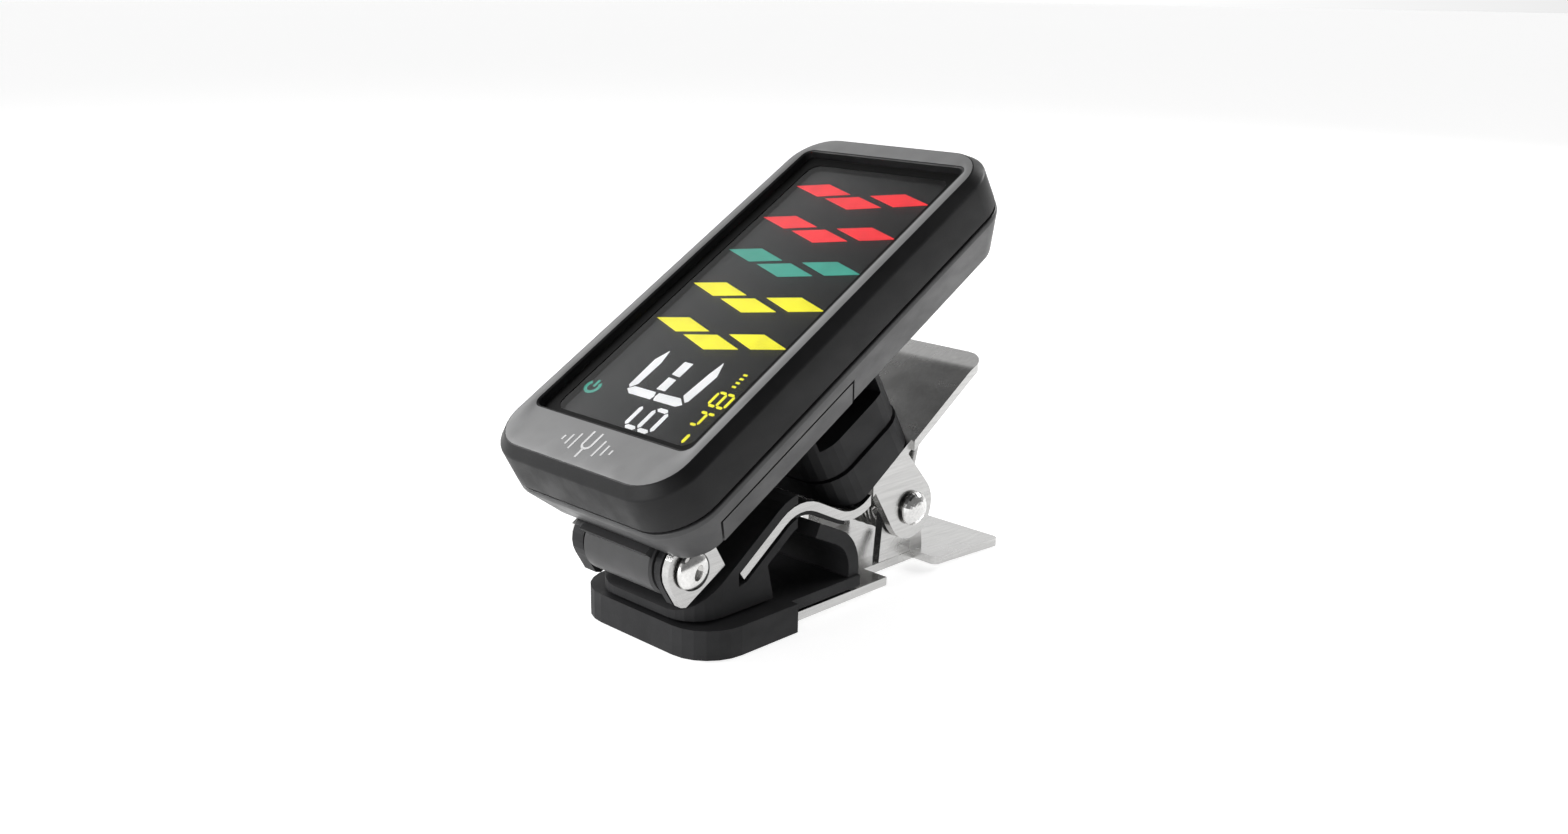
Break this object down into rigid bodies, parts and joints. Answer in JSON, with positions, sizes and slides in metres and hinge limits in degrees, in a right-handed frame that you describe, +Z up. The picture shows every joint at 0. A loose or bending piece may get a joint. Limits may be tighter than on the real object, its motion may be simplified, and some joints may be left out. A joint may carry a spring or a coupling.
{
  "type": "clip-on tuner",
  "caption": "Clip-on tuner for stringed instruments: sprung jaw clip, swivelling arm and a tilting display head with side buttons and a battery door.",
  "frame": {"origin": "centre of the bounding box's bottom face, on the surface the lower jaw rests on", "axes": "+X across the object, away from the buttons; +Y from the jaws to the handles; +Z up, away from the lower jaw's underside"},
  "size_m": [0.0282, 0.0586, 0.0481],
  "materials": {
    "steel_plate": "satin nickel plate, faint rolling grain",
    "steel_bright": "bright nickel plate",
    "spring_wire": "drawn spring wire",
    "boot_rubber": "matt moulded rubber",
    "arm_plastic": "fine spark texture",
    "bezel_plastic": "painted satin face, dark sides",
    "shell_plastic": "fine spark texture",
    "button_rubber": "smooth matt",
    "lens_clear": "clear acrylic over a black printed border",
    "lcd_glass": "dark colour display",
    "light_guide": "milky light guide",
    "board": "solder mask",
    "black_part": "moulded component",
    "brass_strip": "plain rolled",
    "cell_steel": "plain nickel plate"
  },
  "bodies": {
    "lower_jaw": {"lower_lever": "steel_plate", "lower_jaw_boot": "boot_rubber", "torsion_spring": "spring_wire", "pivot_pin": "steel_bright"},
    "upper_jaw": {"upper_lever": "steel_plate", "upper_jaw_boot": "boot_rubber", "swivel_base": "arm_plastic", "swivel_rivet": "steel_bright"},
    "arm": {"hinge_arm": "arm_plastic", "hinge_side_plate": "steel_plate", "hinge_screw": "steel_bright", "hinge_nut": "steel_bright", "swivel_washer": "steel_bright"},
    "head": {"front_bezel": "bezel_plastic", "rear_shell": "shell_plastic", "display_lens": "lens_clear", "lcd_panel": "lcd_glass", "backlight_panel": "light_guide", "display_connector": "black_part", "main_pcb": "board", "controller_chip": "black_part", "coin_cell": "cell_steel", "battery_contact_positive": "brass_strip", "battery_contact_negative": "brass_strip", "piezo_sensor": "brass_strip", "friction_washer_left": "steel_bright", "friction_washer_right": "steel_bright", "case_screw_left": "steel_bright", "case_screw_right": "steel_bright", "power_switch": "black_part", "mode_switch": "black_part"},
    "door": {"battery_door": "shell_plastic"},
    "power": {"power_button": "button_rubber"},
    "mode": {"mode_button": "button_rubber"}
  },
  "joints": [
    {"name": "clip_pivot", "type": "hinge", "parent": "lower_jaw", "child": "upper_jaw", "pos_m": [0, 0.01459, 0.0078], "axis": [-1, 0, 0], "range_deg": [0, 35], "stiffness_Nm_per_rad": 0.25, "springref_deg": -45.84, "deforming": ["torsion_spring"]},
    {"name": "arm_swivel", "type": "hinge", "parent": "upper_jaw", "child": "arm", "pos_m": [0, 0.00654, 0.01669], "axis": [0, -0.5, 0.866], "continuous": true},
    {"name": "head_tilt", "type": "hinge", "parent": "arm", "child": "head", "pos_m": [0, -0.01978, 0.00947], "axis": [1, 0, 0], "range_deg": [0, 100]},
    {"name": "door_slide", "type": "slide", "parent": "head", "child": "door", "axis": [1, 0, 0], "range_m": [0, 0.0215]},
    {"name": "power_press", "type": "slide", "parent": "head", "child": "power", "axis": [1, 0, 0], "range_m": [0, 0.00035], "stiffness_N_per_m": 500, "springref_m": -0.0006},
    {"name": "mode_press", "type": "slide", "parent": "head", "child": "mode", "axis": [1, 0, 0], "range_m": [0, 0.00035], "stiffness_N_per_m": 500, "springref_m": -0.0006}
  ]
}
